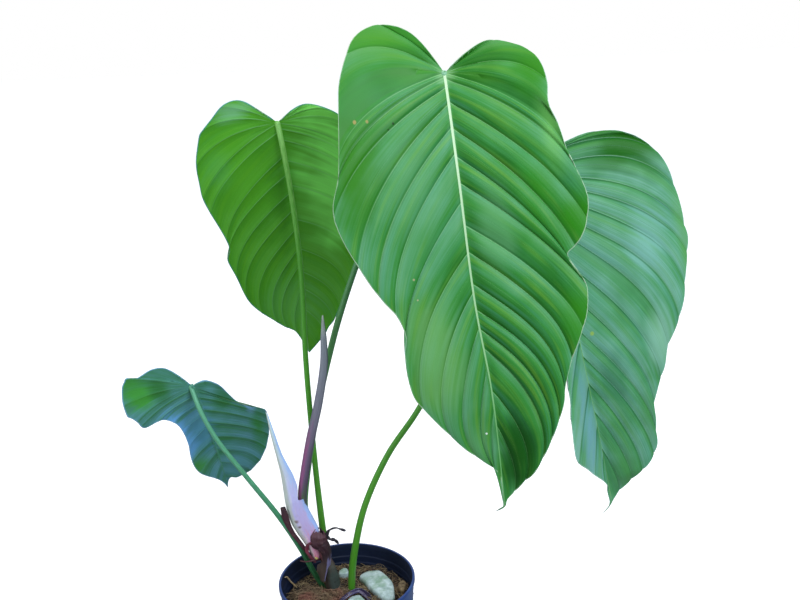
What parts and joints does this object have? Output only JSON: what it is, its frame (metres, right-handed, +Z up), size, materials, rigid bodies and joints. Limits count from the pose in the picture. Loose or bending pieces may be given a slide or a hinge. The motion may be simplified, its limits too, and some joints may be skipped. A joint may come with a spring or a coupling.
{
  "type": "potted philodendron",
  "caption": "Young potted philodendron with long heart-shaped ribbed leaves on slender stalks, a rolled new leaf in a pale sheath, and a black nursery pot.",
  "frame": {"origin": "middle of the pot's underside, on the surface it stands on", "axes": "+Z up along the pot; -Y is the side that the front leaf hangs on; +X to the right seen from there"},
  "size_m": [0.5793, 0.261, 0.7169],
  "materials": {
    "pot_plastic": "thin moulded black-blue polypropylene, satin",
    "potting_mix": "damp dark potting mix, matt",
    "coir": "loose brown coconut fibre, matt",
    "stone": "pale limestone with a green algae tint, matt",
    "bark": "dry bark chip, matt",
    "fallen_sheath": "dead leaf sheath, damp and glossy",
    "stem": "grey-green stem with a pink internode, satin",
    "pale_sheath": "thin waxy bud sheath, lilac to pink, satin",
    "new_leaf": "rolled young leaf, mauve grey, satin",
    "old_sheath": "withered maroon sheath, dull",
    "dry_strap": "dry brown sheath strap, dull",
    "petiole_green": "smooth green leaf stalk, satin",
    "petiole_blue_green": "smooth blue-green leaf stalk, satin",
    "leaf_upper": "waxy leaf, upper face to the viewer, satin",
    "leaf_underside": "waxy leaf, underside to the viewer, satin",
    "leaf_blue": "waxy leaf with a blue-green sheen, satin",
    "leaf_small": "small waxy leaf with a rolled margin, satin"
  },
  "bodies": {
    "root": {"pot": "pot_plastic", "potting_mix": "potting_mix", "coir_tuft": "coir", "stone_large": "stone", "stone_front": "stone", "stone_small": "stone", "bark_chip": "bark", "fallen_sheath": "fallen_sheath", "stem": "stem", "pale_sheath": "pale_sheath", "new_leaf": "new_leaf", "old_sheath": "old_sheath", "dry_strap": "dry_strap", "petiole_front": "petiole_green", "petiole_left": "petiole_green", "petiole_right": "petiole_green", "petiole_small": "petiole_blue_green", "blade_front": "leaf_upper", "blade_left": "leaf_underside", "blade_right": "leaf_blue", "blade_small": "leaf_small"}
  },
  "joints": []
}
